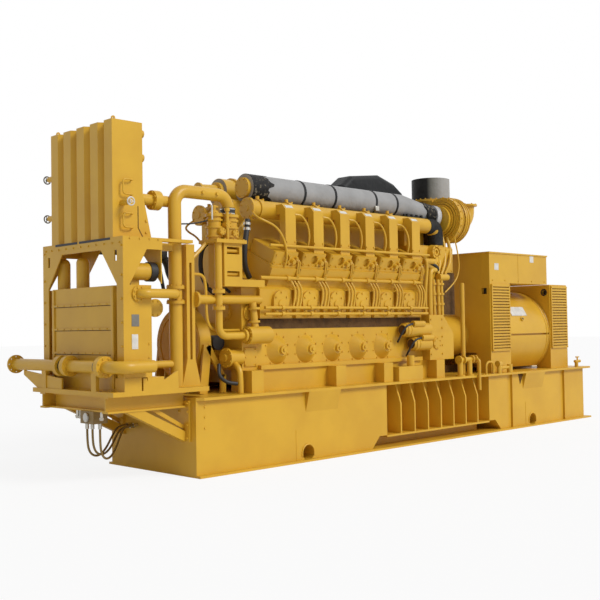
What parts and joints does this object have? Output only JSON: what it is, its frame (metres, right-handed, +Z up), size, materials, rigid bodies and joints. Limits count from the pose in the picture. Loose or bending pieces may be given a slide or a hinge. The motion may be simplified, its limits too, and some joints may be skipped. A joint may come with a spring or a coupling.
{
  "type": "generator set",
  "caption": "Large stationary diesel generator set: vee engine and generator coupled in line on a boxed steel base, with lagged exhaust and a front cooling stand under an expansion tank.",
  "frame": {"origin": "middle of the base's underside between the base's front and rear plates, on the floor", "axes": "+X along the crankshaft from the cooling stand to the generator, +Y to the side away from the camera, +Z up"},
  "size_m": [9.3799, 2.1978, 3.7919],
  "materials": {
    "ochre_paint": "semi-gloss",
    "box_paint": "satin",
    "wheel_paint": "satin",
    "lagging_cloth": "matt silver cloth",
    "hose_rubber": "matt",
    "plated_fittings": "plated"
  },
  "bodies": {
    "set": {"air_cooler": "ochre_paint", "air_manifolds": "ochre_paint", "base_deck": "ochre_paint", "base_front_end": "ochre_paint", "base_front_pod": "ochre_paint", "base_middle": "ochre_paint", "base_rear_pod": "ochre_paint", "breather_post": "ochre_paint", "control_box": "box_paint", "coolant_riser": "ochre_paint", "cooling_stand": "ochre_paint", "coupling": "ochre_paint", "crankcase_doors": "ochre_paint", "crankshaft_guard": "ochre_paint", "cylinder_heads": "ochre_paint", "engine_block": "ochre_paint", "engine_feet": "ochre_paint", "exhaust_blankets": "lagging_cloth", "exhaust_manifold": "ochre_paint", "expansion_tank": "ochre_paint", "first_hose": "hose_rubber", "flywheel_housing": "ochre_paint", "front_bracket": "ochre_paint", "fuel_rails": "ochre_paint", "gear_case": "ochre_paint", "generator_end_boxes": "ochre_paint", "generator_top_box": "ochre_paint", "heat_exchanger": "ochre_paint", "hose_fittings": "plated_fittings", "intake_runners": "ochre_paint", "louvre_panels": "ochre_paint", "raw_water_pipe": "ochre_paint", "rocker_covers": "ochre_paint", "second_hose": "hose_rubber", "stand_platform": "ochre_paint", "starter_motors": "ochre_paint", "stator": "ochre_paint", "tank_fittings": "ochre_paint", "thermostat_housing": "ochre_paint", "third_hose": "hose_rubber", "turbo_inlets": "ochre_paint", "turbochargers": "ochre_paint", "water_jacket_covers": "ochre_paint", "water_pipe": "ochre_paint", "water_pumps": "ochre_paint"},
    "lower_wheel": {"lower_valve_wheel": "wheel_paint"},
    "upper_wheel": {"upper_valve_wheel": "wheel_paint"},
    "near_wheel": {"near_valve_wheel": "wheel_paint"}
  },
  "joints": [
    {"name": "lower_wheel_turn", "type": "hinge", "parent": "set", "child": "lower_wheel", "pos_m": [-4.91, 0.767, 2.84012], "axis": [0, 1, 0], "range_deg": [0, 900]},
    {"name": "upper_wheel_turn", "type": "hinge", "parent": "set", "child": "upper_wheel", "pos_m": [-4.91, 0.767, 3.27946], "axis": [0, 1, 0], "range_deg": [0, 900]},
    {"name": "near_wheel_turn", "type": "hinge", "parent": "set", "child": "near_wheel", "pos_m": [-4.833, -0.767, 2.89002], "axis": [0, -1, 0], "range_deg": [0, 900]}
  ]
}
